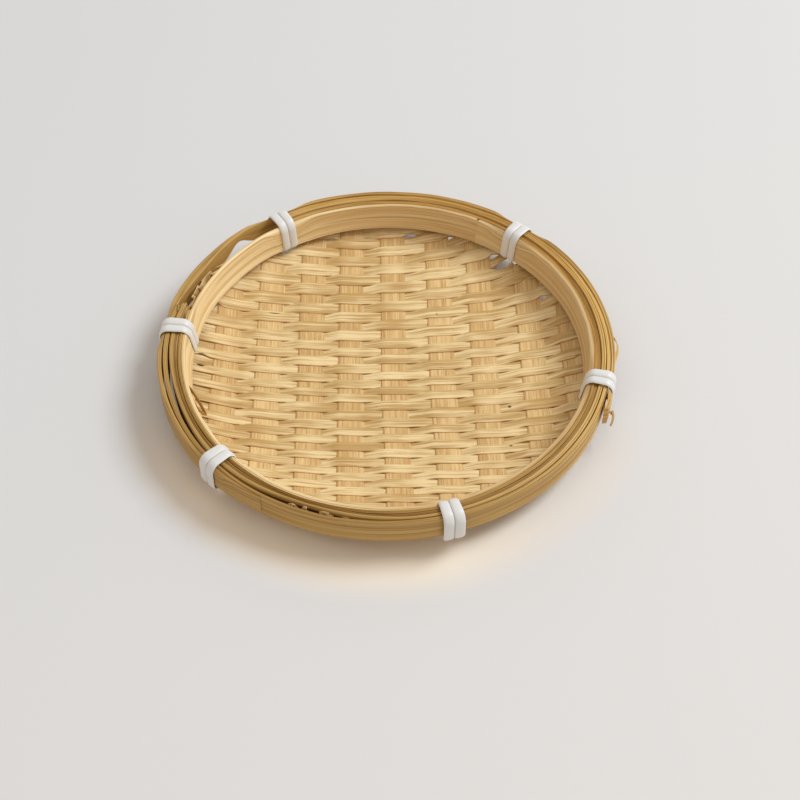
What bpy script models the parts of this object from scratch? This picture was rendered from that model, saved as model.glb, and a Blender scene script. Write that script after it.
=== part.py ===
"""A shallow round tray of split bamboo, woven flat and pinched in a rim of bent laths.

The frame is in metres with +Z up. Its origin is at the bottom centre, on the surface
that the tray stands on. X runs along the narrow wefts, Y along the wide warps.
"""
import math

import bmesh
import bpy
from mathutils import Vector

# The whole tray
RIM_DIAMETER = 0.130
TRAY_DEPTH = 0.012

# The inner hoop, a flat strip on edge whose ends meet in a scarf
HOOP_HEIGHT = 0.0080
HOOP_THICKNESS = 0.0011
HOOP_LEAN = 0.0013
HOOP_SCARF_LENGTH = 0.004
HOOP_SCARF_GAP = 0.0003
HOOP_JOINT_DEGREES = 61.0

# The laths on edge outside the woven sheet
LATH_THICKNESS = 0.0009
LATH_GAP = 0.0003
OUTER_LATH_HEIGHT = 0.0064
SECOND_LATH_HEIGHT = 0.0072
THIRD_LATH_HEIGHT = 0.0070
SECOND_LATH_DROP = 0.0002
THIRD_LATH_DROP = 0.0001

# The shaved tip and the sprung tail of the outermost lath, past the ties that hold them
TIP_LENGTH = 0.0153
TIP_TAPER_LENGTH = 0.009
TIP_THICKNESS = 0.0003
TAIL_LENGTH = 0.0078
TAIL_SPRING = 0.0008
LATH_STEP_LENGTH = 0.012

# The stub ends of the other laths, past the left tie
SECOND_LATH_STUB = 0.0062
THIRD_LATH_STUB = 0.0078
OUTER_COVER_STUB = 0.0068
INNER_COVER_STUB = 0.0050

# The cover laths over the cut strip ends
COVER_GAP = 0.0003
COVER_LIFT = 0.0003
OUTER_COVER_DROP = 0.0004
INNER_COVER_DROP = 0.0002

# The warps, wide strips from front to back: the margins lie between them and the fold
WARP_COUNT = 9
WARP_WIDTH = 0.0075
WARP_THICKNESS = 0.0005
WARP_LEFT_MARGIN = 0.0080
WARP_RIGHT_MARGIN = 0.0014
WARP_STATION_STEP = 0.008

# How far each warp lies from its even place, as a share of the warps' pitch
warp_shift_shares = (0.03, -0.03, -0.05, -0.12, -0.1, 0.0, -0.05, 0.05, 0.04)

# The wefts, narrow strips from left to right: packed close in front, wider at the back
WEFT_FRONT_COUNT = 14
WEFT_MIDDLE_COUNT = 10
WEFT_BACK_COUNT = 12
WEFT_THICKNESS = 0.00045
WEFT_FRONT_END_Y = -0.0192
WEFT_BACK_START_Y = 0.0118
WEFT_FRONT_MARGIN = 0.0034
WEFT_BACK_MARGIN = 0.0004
WEFT_SIDE_GAP = 0.00024
WEFT_BULGE = 0.0003

# The wefts bow towards the back on both sides of a line: how far they have risen at one
# dish radius from it, and how much that grows for a weft at the back of the dish
BOW_X = -0.0124
BOW_RIGHT = 0.0058
BOW_LEFT = 0.0050
BOW_RIGHT_GROWTH = 0.0062
BOW_LEFT_GROWTH = -0.0040

# How the strips lie on each other and in the rim
WEAVE_GAP = 0.0002
CROSSING_MARGIN = 0.00035
SEAT_GAP = 0.0002
WALL_CLIMB = 0.0022

# The shape of the woven sheet
FLAT_RADIUS = 0.022
FOLD_RADIUS = 0.0019
EDGE_SLOPE_DEGREES = 18.0
CLIMB_LIMIT_DEGREES = 50.0
STEEP_END_GAP = 0.0004

# The plastic straps, each wound twice round the rim
BAND_WIDTH = 0.00285
BAND_THICKNESS = 0.0005
BAND_GAP = 0.0005
BAND_CORNER_RADIUS = 0.0008
BAND_CLEARANCE = 0.00015
BAND_CORNER_STEPS = 3

# Where the straps sit, as shares of a turn from the right side towards the back
tie_turn_shares = {
    "back_right": 0.136,
    "back_left": 0.337,
    "left": 0.482,
    "front_left": 0.618,
    "front": 0.791,
    "right": 0.960,
}

# Modelling steps
RING_STEP_DEGREES = 5.0
REACH_STEP = 0.0002
CUT_DISTANCE = 0.000001
SHARP_DEGREES = 35.0
fold_cut_shares = (-2, 0, 0.5, 1)

# Finishes: linear colour, roughness
WEFT_COLOUR = (0.78, 0.60, 0.33)
WARP_COLOUR = (0.70, 0.47, 0.22)
HOOP_COLOUR = (0.62, 0.40, 0.17)
LATH_COLOUR = (0.50, 0.31, 0.10)
TIE_COLOUR = (0.80, 0.79, 0.77)
BAMBOO_ROUGHNESS = 0.55
TIE_ROUGHNESS = 0.35
tone_shares = (1.0, 0.93, 1.04, 0.97, 0.9)

# The sheet: a warp in the middle, with a weft over it or under it
sheet_half = WARP_THICKNESS / 2 + WEAVE_GAP + WEFT_THICKNESS
weft_level = WARP_THICKNESS / 2 + WEAVE_GAP + WEFT_THICKNESS / 2
crossing_half = WARP_WIDTH / 2 + CROSSING_MARGIN

# The rim, from the outside in
rim_radius = RIM_DIAMETER / 2
outer_lath_inner = rim_radius - LATH_THICKNESS
second_lath_inner = outer_lath_inner - LATH_GAP - LATH_THICKNESS
third_lath_inner = second_lath_inner - LATH_GAP - LATH_THICKNESS
wall_radius = third_lath_inner - SEAT_GAP - sheet_half
hoop_outer = wall_radius - sheet_half - SEAT_GAP
hoop_inner = hoop_outer - HOOP_THICKNESS
rim_top = 2 * sheet_half + TRAY_DEPTH
hoop_bottom = rim_top - HOOP_HEIGHT
lath_bottom = rim_top - SECOND_LATH_DROP - SECOND_LATH_HEIGHT
cover_thickness = (2 * sheet_half - COVER_GAP) / 2

# The dish, and the fold where the sheet turns up into the rim
edge_slope = math.radians(EDGE_SLOPE_DEGREES)
fold_centre_radius = wall_radius - FOLD_RADIUS
dish_radius = fold_centre_radius + FOLD_RADIUS * math.sin(edge_slope)
dish_rise = hoop_bottom - FOLD_RADIUS * math.cos(edge_slope) - sheet_half
dish_power = math.tan(edge_slope) * (dish_radius - FLAT_RADIUS) / dish_rise
fold_length = FOLD_RADIUS * (math.pi / 2 - edge_slope)
climbing_radius = dish_radius + fold_length + WALL_CLIMB
cover_bottom = hoop_bottom + WALL_CLIMB + COVER_LIFT

# Where the strips lie between their margins
warp_span = 2 * dish_radius - WARP_LEFT_MARGIN - WARP_RIGHT_MARGIN - WARP_WIDTH
warp_pitch = warp_span / (WARP_COUNT - 1)
first_warp_x = WARP_LEFT_MARGIN + WARP_WIDTH / 2 - dish_radius
front_reach = dish_radius - WEFT_FRONT_MARGIN + WEFT_FRONT_END_Y + WEFT_SIDE_GAP / 2
back_reach = dish_radius - WEFT_BACK_MARGIN - WEFT_BACK_START_Y + WEFT_SIDE_GAP / 2
weft_front_pitch = front_reach / (WEFT_FRONT_COUNT - 1 / 2)
weft_middle_pitch = (WEFT_BACK_START_Y - WEFT_FRONT_END_Y) / WEFT_MIDDLE_COUNT
weft_back_pitch = back_reach / (WEFT_BACK_COUNT + 1 / 2)

# The ties: a rounded loop round the rim, seen along the rim
corner_inset = (BAND_CORNER_RADIUS - BAND_CLEARANCE) / math.sqrt(2)
band_offset = BAND_CORNER_RADIUS - corner_inset
band_corner = BAND_CORNER_RADIUS + BAND_THICKNESS / 2
band_pitch = BAND_WIDTH + BAND_GAP
tie_half_span = band_pitch / 2 + BAND_WIDTH / 2
tie_half_angle = tie_half_span / rim_radius
tie_slot_radius = hoop_inner - HOOP_LEAN - band_offset
tie_slot_half = tie_half_span + WEAVE_GAP


def clear_scene():
    """Remove what the scene starts with."""
    for thing in list(bpy.data.objects):
        bpy.data.objects.remove(thing)


def finish(name, colour, roughness):
    """Make the material of one piece."""
    material = bpy.data.materials.new(name)
    material.use_nodes = True
    shader = material.node_tree.nodes["Principled BSDF"]
    shader.inputs["Base Color"].default_value = (*colour, 1.0)
    shader.inputs["Roughness"].default_value = roughness
    shader.inputs["Metallic"].default_value = 0.0
    return material


def add_piece(name, mesh, colour, roughness, smooth=False):
    """Put a finished mesh in the scene as one named piece."""
    if smooth:
        mesh.shade_smooth()
        mesh.set_sharp_from_angle(angle=math.radians(SHARP_DEGREES))
    piece = bpy.data.objects.new(name, mesh)
    if not mesh.materials:
        mesh.materials.append(finish(name, colour, roughness))
    bpy.context.collection.objects.link(piece)
    return piece


def to_mesh(name, shape):
    """Close a bmesh off as a mesh whose faces all point out."""
    bmesh.ops.recalc_face_normals(shape, faces=shape.faces)
    if shape.calc_volume(signed=True) < 0:
        bmesh.ops.reverse_faces(shape, faces=shape.faces)
    mesh = bpy.data.meshes.new(name)
    shape.to_mesh(mesh)
    shape.free()
    return mesh


def toned(colour, number):
    """Vary a colour a little from one strip to the next."""
    share = tone_shares[number % len(tone_shares)]
    return tuple(channel * share for channel in colour)


def loft(rings):
    """Skin a row of rings that have the same number of corners, and cap both ends."""
    shape = bmesh.new()
    loops = [[shape.verts.new(corner) for corner in ring] for ring in rings]
    count = len(loops[0])
    for near, far in zip(loops, loops[1:]):
        for i in range(count):
            j = (i + 1) % count
            shape.faces.new((near[i], near[j], far[j], far[i]))
    shape.faces.new(loops[0])
    shape.faces.new(loops[-1])
    return shape


def smooth_step(value):
    """Ease from 0 to 1."""
    value = min(max(value, 0.0), 1.0)
    return value * value * (3 - 2 * value)


def turn_between(angle, reference):
    """The signed turn from a reference azimuth to another, within half a turn."""
    return (angle - reference + math.pi) % math.tau - math.pi


def tie_azimuth(name):
    """The azimuth of a tie's middle."""
    return tie_turn_shares[name] * math.tau


def lean_in(radius, height):
    """How far a place in the rim leans in: most at the hoop's lower edge, nothing at the laths."""
    depth = min(max((rim_top - height) / HOOP_HEIGHT, 0), 1)
    share = min(max((third_lath_inner - radius) / (third_lath_inner - hoop_outer), 0), 1)
    return HOOP_LEAN * depth * share


# The woven sheet, first laid out flat and then draped

def sheet_profile(radius):
    """Radius, height and slope of the sheet's middle, a flat distance from the centre."""
    if radius <= FLAT_RADIUS:
        return radius, sheet_half, 0.0
    if radius <= dish_radius:
        reach = dish_radius - FLAT_RADIUS
        share = (radius - FLAT_RADIUS) / reach
        height = sheet_half + dish_rise * share ** dish_power
        steepness = dish_rise * dish_power / reach * share ** (dish_power - 1)
        return radius, height, math.atan(steepness)
    angle = edge_slope + (radius - dish_radius) / FOLD_RADIUS
    if angle < math.pi / 2:
        out = fold_centre_radius + FOLD_RADIUS * math.sin(angle)
        return out, hoop_bottom - FOLD_RADIUS * math.cos(angle), angle
    climb = radius - dish_radius - fold_length
    return wall_radius, hoop_bottom + climb, math.pi / 2


def drape(point):
    """Carry a point of the flat sheet to its place in the tray."""
    flat_radius = math.hypot(point.x, point.y)
    if flat_radius <= FLAT_RADIUS:
        return Vector((point.x, point.y, sheet_half + point.z))
    radius, height, slope = sheet_profile(flat_radius)
    radius -= point.z * math.sin(slope)
    height += point.z * math.cos(slope)
    folded = max(slope - edge_slope, 0) / (math.pi / 2 - edge_slope)
    radius -= lean_in(radius, height) * folded
    share = radius / flat_radius
    return Vector((point.x * share, point.y * share, height))


def bow(x, offset):
    """How far a weft has run off towards the back, a way along it."""
    share = (x - BOW_X) / dish_radius
    depth = offset / dish_radius
    right = BOW_RIGHT + BOW_RIGHT_GROWTH * depth
    left = BOW_LEFT + BOW_LEFT_GROWTH * depth
    return (right if share > 0 else left) * share ** 2


def warp_path(offset):
    """The middle line of a warp, by the distance along it."""
    return lambda reach: Vector((offset, reach, 0))


def weft_path(offset):
    """The middle line of a weft, by the distance along it."""
    return lambda reach: Vector((reach, offset + bow(reach, offset), 0))


def reach_at(path, radius, heading):
    """How far along its path a strip comes to a distance from the centre."""
    near, far = 0.0, radius
    while far - near > CUT_DISTANCE:
        middle = (near + far) / 2
        if path(middle * heading).length < radius:
            near = middle
        else:
            far = middle
    return near * heading


def in_tie_slot(point):
    """Whether a point of the flat sheet lies where a tie goes through the weave."""
    for name in tie_turn_shares:
        azimuth = tie_azimuth(name)
        along = point.x * math.cos(azimuth) + point.y * math.sin(azimuth)
        across = point.y * math.cos(azimuth) - point.x * math.sin(azimuth)
        beyond = math.hypot(along, across) > tie_slot_radius
        if along > 0 and beyond and abs(across) < tie_slot_half:
            return True
    return False


def end_radius(offset):
    """How far from the centre a strip runs: into the rim, or just under its hoop."""
    steep = abs(offset) > wall_radius * math.sin(math.radians(CLIMB_LIMIT_DEGREES))
    return dish_radius - STEEP_END_GAP if steep else climbing_radius


def tie_cut(path, across, half_width, heading):
    """Where a tie cuts a strip short, if it does, and which way the square cut faces."""
    reached = 0.0
    while reached < climbing_radius:
        middle = path(reached * heading)
        corners = (middle + across * half_width * share for share in (-1, -0.6, -0.2, 0.2, 0.6, 1))
        if any(in_tie_slot(corner) for corner in corners):
            return middle, across.cross(Vector((0, 0, 1))) * heading
        reached += REACH_STEP
    return None


def cut(shape, point, normal, trim):
    """Cut a strip across, and close it where the cut trims its end off."""
    parts = shape.verts[:] + shape.edges[:] + shape.faces[:]
    found = bmesh.ops.bisect_plane(
        shape, geom=parts, dist=CUT_DISTANCE, plane_co=point, plane_no=normal, clear_outer=trim
    )
    if trim:
        edges = [part for part in found["geom_cut"] if isinstance(part, bmesh.types.BMEdge)]
        if edges:
            bmesh.ops.edgeloop_fill(shape, edges=edges)


def fit_strip(shape, path, across, offset, half_width):
    """Trim a flat strip at both ends, cut it where it folds, and drape it."""
    for heading in (1, -1):
        end = path(reach_at(path, end_radius(offset), heading))
        cut(shape, end, end.normalized(), True)
        short = tie_cut(path, across, half_width, heading)
        if short:
            cut(shape, *short, True)
        for share in fold_cut_shares:
            fold = path(reach_at(path, dish_radius + fold_length * share, heading))
            cut(shape, fold, fold.normalized(), False)
    for corner in shape.verts:
        corner.co = drape(corner.co)
    return shape


def warp_offsets():
    """Where the warps lie, from left to right."""
    count = len(warp_shift_shares)
    return [first_warp_x + warp_pitch * (step + warp_shift_shares[step % count]) for step in range(WARP_COUNT)]


def make_warp(number, offset):
    """One wide strip from front to back."""
    half = WARP_WIDTH / 2
    rise = WARP_THICKNESS / 2
    count = math.ceil(climbing_radius / WARP_STATION_STEP)
    rings = []
    for step in range(-count, count + 1):
        y = step * WARP_STATION_STEP
        lower = [(offset + half * side, y, -rise) for side in (-1, 0, 1)]
        upper = [(offset + half * side, y, rise) for side in (1, 0, -1)]
        rings.append(lower + upper)
    shape = fit_strip(loft(rings), warp_path(offset), Vector((-1, 0, 0)), offset, half)
    name = f"warp_{number}"
    add_piece(name, to_mesh(name, shape), toned(WARP_COLOUR, number), BAMBOO_ROUGHNESS)


def weft_rows():
    """Where the wefts lie, how wide each is at its waist and which way it starts, from the front."""
    places = []
    for step in reversed(range(WEFT_FRONT_COUNT)):
        places.append((WEFT_FRONT_END_Y - weft_front_pitch * step, weft_front_pitch))
    for step in range(1, WEFT_MIDDLE_COUNT + 1):
        places.append((WEFT_FRONT_END_Y + weft_middle_pitch * step, weft_middle_pitch))
    for step in range(1, WEFT_BACK_COUNT + 1):
        places.append((WEFT_BACK_START_Y + weft_back_pitch * step, weft_back_pitch))
    return [(y, pitch - WEFT_SIDE_GAP, number % 2) for number, (y, pitch) in enumerate(places)]


def weft_stations(warps, path, waist, parity):
    """Along a weft: its place, its level and its width, where these change."""
    crossed = [number for number, x in enumerate(warps) if path(x).length < climbing_radius]
    stations = []
    for number, x in enumerate(warps):
        nearest = min(max(number, crossed[0]), crossed[-1])
        level = weft_level if (nearest + parity) % 2 else -weft_level
        width = waist + WEFT_BULGE if nearest == number else waist
        if stations:
            last_x, last_level, _ = stations[-1]
            stations.append(((last_x + x - crossing_half) / 2, (last_level + level) / 2, waist))
        stations.append((x - crossing_half, level, width))
        stations.append((x + crossing_half, level, width))
    first, last = stations[0], stations[-1]
    beyond = climbing_radius + warp_pitch
    return [(-beyond, first[1], waist)] + stations + [(beyond, last[1], waist)]


def make_weft(number, offset, waist, parity, warps):
    """One narrow strip from left to right, over and under the warps in turn."""
    rise = WEFT_THICKNESS / 2
    rings = []
    path = weft_path(offset)
    for x, level, width in weft_stations(warps, path, waist, parity):
        near, far = path(x).y - width / 2, path(x).y + width / 2
        rings.append([
            (x, near, level - rise), (x, far, level - rise), (x, far, level + rise), (x, near, level + rise),
        ])
    half = (waist + WEFT_BULGE) / 2
    shape = fit_strip(loft(rings), path, Vector((0, 1, 0)), offset, half)
    name = f"weft_{number:02d}"
    add_piece(name, to_mesh(name, shape), toned(WEFT_COLOUR, number), BAMBOO_ROUGHNESS)


def make_sheet():
    """All the strips of the weave."""
    warps = warp_offsets()
    for number, offset in enumerate(warps, 1):
        make_warp(number, offset)
    rows = weft_rows()
    for number, (offset, waist, parity) in enumerate(rows, 1):
        make_weft(number, offset, waist, parity, warps)
    print("warps", len(warps), "wefts", len(rows))


# The rim

def bend(start, end, inner, thickness, bottom, top):
    """Sweep an upright section round the rim from one azimuth to another."""
    shape = bmesh.new()
    outer = inner + thickness
    corners = [(inner, bottom), (outer, bottom), (outer, top), (inner, top)]
    ray = Vector((math.cos(start), math.sin(start), 0))
    section = shape.faces.new([shape.verts.new(ray * r + Vector((0, 0, z))) for r, z in corners])
    turn = end - start
    steps = math.ceil(turn / math.radians(RING_STEP_DEGREES))
    bmesh.ops.spin(
        shape, geom=[section], cent=(0, 0, 0), axis=(0, 0, 1), angle=turn, steps=steps, use_duplicate=False
    )
    return shape


def push_out(corner, amount):
    """Move a corner straight out from the middle of the tray, or in."""
    radius = math.hypot(corner.co.x, corner.co.y)
    share = (radius + amount) / radius
    corner.co.x *= share
    corner.co.y *= share


def lean(shape):
    """Lean an upright hoop in with the rim."""
    for corner in shape.verts:
        push_out(corner, -lean_in(math.hypot(corner.co.x, corner.co.y), corner.co.z))


def make_lath(name, shape, number):
    """Finish one bent lath."""
    lean(shape)
    add_piece(name, to_mesh(name, shape), toned(LATH_COLOUR, number), BAMBOO_ROUGHNESS, smooth=True)


def make_hoop():
    """The inner hoop, with a slanting joint where its ends lap."""
    start = math.radians(HOOP_JOINT_DEGREES)
    end = start + math.tau - HOOP_SCARF_GAP / hoop_outer
    shape = bend(start, end, hoop_inner, HOOP_THICKNESS, hoop_bottom, rim_top)
    slant = HOOP_SCARF_LENGTH / hoop_outer
    middle = (hoop_inner + hoop_outer) / 2
    for corner in shape.verts:
        radius = math.hypot(corner.co.x, corner.co.y)
        azimuth = math.atan2(corner.co.y, corner.co.x)
        at_joint = abs(turn_between(azimuth, start)) < slant / 2
        if at_joint and radius > middle:
            corner.co.x = radius * math.cos(azimuth + slant)
            corner.co.y = radius * math.sin(azimuth + slant)
    lean(shape)
    mesh = to_mesh("inner_hoop", shape)
    add_piece("inner_hoop", mesh, HOOP_COLOUR, BAMBOO_ROUGHNESS, smooth=True)


def outer_lath_ends():
    """The azimuths of the outermost lath's tail at the right and tip at the front left."""
    tail = tie_azimuth("right") - math.tau - tie_half_angle - TAIL_LENGTH / rim_radius
    tip = tie_azimuth("front_left") + tie_half_angle + TIP_LENGTH / rim_radius
    return tail, tip


def make_outer_lath():
    """The outermost lath: all round but the front, with a sprung tail and a shaved tip."""
    tail, tip = outer_lath_ends()
    shape = bend(tail, tip, outer_lath_inner, LATH_THICKNESS, rim_top - OUTER_LATH_HEIGHT, rim_top)
    middle = rim_radius - LATH_THICKNESS / 2
    for corner in shape.verts:
        radius = math.hypot(corner.co.x, corner.co.y)
        azimuth = math.atan2(corner.co.y, corner.co.x)
        from_tail = turn_between(azimuth, tail) * rim_radius
        from_tip = -turn_between(azimuth, tip) * rim_radius
        if abs(from_tail) < TAIL_LENGTH:
            push_out(corner, TAIL_SPRING * smooth_step(1 - from_tail / TAIL_LENGTH))
        if abs(from_tip) < TIP_TAPER_LENGTH and radius > middle:
            taper = smooth_step(1 - from_tip / TIP_TAPER_LENGTH)
            push_out(corner, -(LATH_THICKNESS - TIP_THICKNESS) * taper)
    make_lath("outer_lath", shape, 1)


def stub_end(stub_length):
    """The azimuth where a lath's stub ends, past the left tie."""
    return tie_azimuth("left") - tie_half_angle - stub_length / rim_radius


def inner_lath_end():
    """The azimuth where the inner laths end, hidden under the back left tie."""
    return tie_azimuth("back_left") + math.tau


def make_second_lath():
    """The second lath: it steps out to be the outermost one along the front."""
    top = rim_top - SECOND_LATH_DROP
    start = stub_end(SECOND_LATH_STUB)
    shape = bend(start, inner_lath_end(), second_lath_inner, LATH_THICKNESS, top - SECOND_LATH_HEIGHT, top)
    tail, tip = outer_lath_ends()
    step = LATH_STEP_LENGTH / rim_radius
    lap = LATH_THICKNESS / rim_radius
    for corner in shape.verts:
        azimuth = math.atan2(corner.co.y, corner.co.x)
        past_tip = turn_between(azimuth, tip) - lap
        before_tail = turn_between(tail, azimuth) - lap
        if past_tip > 0 and before_tail > 0:
            share = min(smooth_step(past_tip / step), smooth_step(before_tail / step))
            push_out(corner, (LATH_THICKNESS + LATH_GAP) * share)
    make_lath("second_lath", shape, 2)


def make_third_lath():
    """The third lath, against the woven sheet."""
    top = rim_top - THIRD_LATH_DROP
    start = stub_end(THIRD_LATH_STUB)
    shape = bend(start, inner_lath_end(), third_lath_inner, LATH_THICKNESS, top - THIRD_LATH_HEIGHT, top)
    make_lath("third_lath", shape, 3)


def make_cover_laths():
    """The two thin laths that cover the cut ends of the strips."""
    inner = hoop_outer + SEAT_GAP
    outer = third_lath_inner - SEAT_GAP - cover_thickness
    end = inner_lath_end()
    inner_top, outer_top = rim_top - INNER_COVER_DROP, rim_top - OUTER_COVER_DROP
    shape = bend(stub_end(INNER_COVER_STUB), end, inner, cover_thickness, cover_bottom, inner_top)
    make_lath("inner_cover_lath", shape, 4)
    shape = bend(stub_end(OUTER_COVER_STUB), end, outer, cover_thickness, cover_bottom, outer_top)
    make_lath("outer_cover_lath", shape, 5)


# The ties

def corner_stations(centre_radius, centre_height, start_angle, lateral):
    """One rounded corner of a strap's path: places, outward directions, sideways place."""
    stations = []
    for step in range(BAND_CORNER_STEPS + 1):
        angle = start_angle + math.pi / 2 * step / BAND_CORNER_STEPS
        out = Vector((math.cos(angle), 0, math.sin(angle)))
        place = Vector((centre_radius, lateral, centre_height)) + out * band_corner
        stations.append((place, out))
    return stations


def band_turn(lateral):
    """Once round the rim: up the outside, over the top and down the inside."""
    inset = band_corner - band_offset - BAND_THICKNESS / 2
    inner, outer = hoop_inner + inset, rim_radius - inset
    high = rim_top - inset
    corners = [
        (outer, lath_bottom + inset, -math.pi / 2),
        (outer, high, 0.0),
        (inner, high, math.pi / 2),
        (inner, hoop_bottom + inset, math.pi),
    ]
    return [station for corner in corners for station in corner_stations(*corner, lateral)]


def band_rings():
    """The strap's sections along its two turns."""
    rings = []
    for place, out in band_turn(-band_pitch / 2) + band_turn(band_pitch / 2):
        ring = []
        for side, face in ((-1, -1), (1, -1), (1, 1), (-1, 1)):
            corner = place + out * (face * BAND_THICKNESS / 2)
            azimuth = (place.y + side * BAND_WIDTH / 2) / rim_radius
            radius = corner.x - lean_in(corner.x, corner.z)
            ring.append(Vector((radius * math.cos(azimuth), radius * math.sin(azimuth), corner.z)))
        rings.append(ring)
    return rings


def least_gap(rings):
    """The least distance between the corners of a strap's first and second turns."""
    half = len(rings) // 2
    first = [corner for ring in rings[:half] for corner in ring]
    second = [corner for ring in rings[half:] for corner in ring]
    return min((a - b).length for a in first for b in second)


def make_ties():
    """Six straps, one shape turned to six places."""
    rings = band_rings()
    print("least gap between the turns of a strap, mm", round(least_gap(rings) * 1000, 2))
    mesh = to_mesh("strap", loft(rings))
    for name in tie_turn_shares:
        tie = add_piece(f"tie_{name}", mesh, TIE_COLOUR, TIE_ROUGHNESS, smooth=True)
        tie.rotation_euler.z = tie_azimuth(name)


def main():
    clear_scene()
    make_sheet()
    make_hoop()
    make_outer_lath()
    make_second_lath()
    make_third_lath()
    make_cover_laths()
    make_ties()


main()
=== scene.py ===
# %% [markdown]
# # A woven bamboo tray, from the frame to the photograph
# The tray is a flat plain weave of split bamboo. Wide strips run from front to back, narrow
# ones from left to right, and their ends are pinched in a rim of bent laths that six plastic
# ties hold together. The imported model gives every strip its place and size. This script gives
# each one the shape and the finish that show from a step away. The first cell loads the model.

# %% The imported model
import math

import bmesh
import bpy
import numpy as np
from mathutils import Matrix, Vector


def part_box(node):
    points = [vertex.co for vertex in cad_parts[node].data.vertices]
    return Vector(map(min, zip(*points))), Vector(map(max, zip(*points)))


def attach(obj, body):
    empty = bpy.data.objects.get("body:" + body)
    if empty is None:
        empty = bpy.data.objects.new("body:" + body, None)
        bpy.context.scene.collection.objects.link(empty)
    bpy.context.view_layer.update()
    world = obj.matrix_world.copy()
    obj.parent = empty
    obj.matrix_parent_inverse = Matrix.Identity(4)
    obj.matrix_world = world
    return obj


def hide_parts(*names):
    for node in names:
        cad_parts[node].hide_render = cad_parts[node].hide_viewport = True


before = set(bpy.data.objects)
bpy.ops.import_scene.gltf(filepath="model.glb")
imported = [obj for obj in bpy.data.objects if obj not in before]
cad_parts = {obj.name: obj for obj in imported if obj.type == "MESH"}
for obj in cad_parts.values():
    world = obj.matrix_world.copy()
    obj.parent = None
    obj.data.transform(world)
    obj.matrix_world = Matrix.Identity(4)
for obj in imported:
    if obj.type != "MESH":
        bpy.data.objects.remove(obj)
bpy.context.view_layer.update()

# %% [markdown]
# ## Reading the rim from the model
# A rim is easiest to measure in cylinder coordinates. Each helper below reads the corners of
# one node, so the hoop, the laths and the strips here follow the model when it changes.

# %% Sizes read from the nodes
SAME_LEVEL = 0.0002


def corners(node):
    """The corners of a node as an array of points."""
    return np.array([corner.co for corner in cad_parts[node].data.vertices])


def ring_radii(node, high):
    """The least and greatest radius of a node's corners at its top or its bottom."""
    points = corners(node)
    level = points[:, 2].max() if high else points[:, 2].min()
    near = points[np.abs(points[:, 2] - level) < SAME_LEVEL]
    radii = np.hypot(near[:, 0], near[:, 1])
    return float(radii.min()), float(radii.max())


rim_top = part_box("inner_hoop")[1].z
hoop_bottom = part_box("inner_hoop")[0].z
hoop_inner, hoop_outer = ring_radii("inner_hoop", True)
hoop_lean = hoop_inner - ring_radii("inner_hoop", False)[0]
third_lath_inner = ring_radii("third_lath", True)[0]
rim_radius = ring_radii("outer_lath", True)[1]
print("rim top", round(rim_top, 4), "radius", round(rim_radius, 4), "third lath", round(third_lath_inner, 4))
print("hoop", round(hoop_inner, 4), "to", round(hoop_outer, 4), "lean", round(hoop_lean, 4))

# %% [markdown]
# ## The camera
# The photograph looks down at the tray from the front, at nearly fifty degrees, with a short
# telephoto view. A camera is a place and three directions. Writing them as a matrix avoids
# the guesswork of turning a camera by hand, and the aim below is given as two angles.

# %% Camera
CAMERA_TURN_DEGREES = -0.893
CAMERA_HEIGHT_DEGREES = 48.378
CAMERA_DISTANCE = 0.42595
FOCAL_PIXELS = 1493.2
IMAGE_PIXELS = 800
SENSOR_MM = 36.0
RIM_MIDDLE_PIXEL = (387.2, 341.9)
RIM_MIDDLE_HEIGHT = 0.0135
CLIP_START = 0.01


def direction(turn_degrees, height_degrees):
    """The direction of an azimuth and a height over the horizon."""
    turn, height = math.radians(turn_degrees), math.radians(height_degrees)
    return Vector((math.cos(turn) * math.cos(height), math.sin(turn) * math.cos(height), math.sin(height)))


def aim():
    """The camera's forward, right and up directions."""
    forward = direction(CAMERA_TURN_DEGREES + 90, -CAMERA_HEIGHT_DEGREES)
    right = forward.cross(Vector((0, 0, 1))).normalized()
    return forward, right, right.cross(forward)


def add_camera():
    """Place the camera so that the rim's middle falls on its pixel."""
    forward, right, up = aim()
    aside = (RIM_MIDDLE_PIXEL[0] - IMAGE_PIXELS / 2) / FOCAL_PIXELS * CAMERA_DISTANCE
    above = (RIM_MIDDLE_PIXEL[1] - IMAGE_PIXELS / 2) / FOCAL_PIXELS * CAMERA_DISTANCE
    place = Vector((0, 0, RIM_MIDDLE_HEIGHT)) - forward * CAMERA_DISTANCE - right * aside + up * above
    camera = bpy.data.objects.new("camera", bpy.data.cameras.new("camera"))
    camera.data.sensor_width = SENSOR_MM
    camera.data.lens = FOCAL_PIXELS / IMAGE_PIXELS * SENSOR_MM
    camera.data.clip_start = CLIP_START
    turned = Matrix((right, up, -forward)).transposed().to_4x4()
    camera.matrix_world = Matrix.Translation(place) @ turned
    bpy.context.scene.collection.objects.link(camera)
    bpy.context.scene.camera = camera
    return place


print("camera at", [round(v, 4) for v in add_camera()])

# %% [markdown]
# ## Arithmetic for the materials
# Every finish here is a formula on numbers that vary over the surface. Blender writes such a
# formula as nodes. The small class below wraps a node's output, so that plus, minus and times
# add the nodes, and a material reads like ordinary arithmetic.

# %% Arithmetic on shader sockets
class Wire:
    """A socket that can be used in plain arithmetic: each operation adds a Math node."""

    def __init__(self, finish, socket):
        self.finish = finish
        self.socket = socket

    def maths(self, operation, *values):
        return self.finish.node("ShaderNodeMath", {"operation": operation}, dict(enumerate(values)))

    def __add__(self, other):
        return self.maths("ADD", self, other)

    def __sub__(self, other):
        return self.maths("SUBTRACT", self, other)

    def __rsub__(self, other):
        return self.maths("SUBTRACT", other, self)

    def __mul__(self, other):
        return self.maths("MULTIPLY", self, other)

    __radd__ = __add__
    __rmul__ = __mul__


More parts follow.
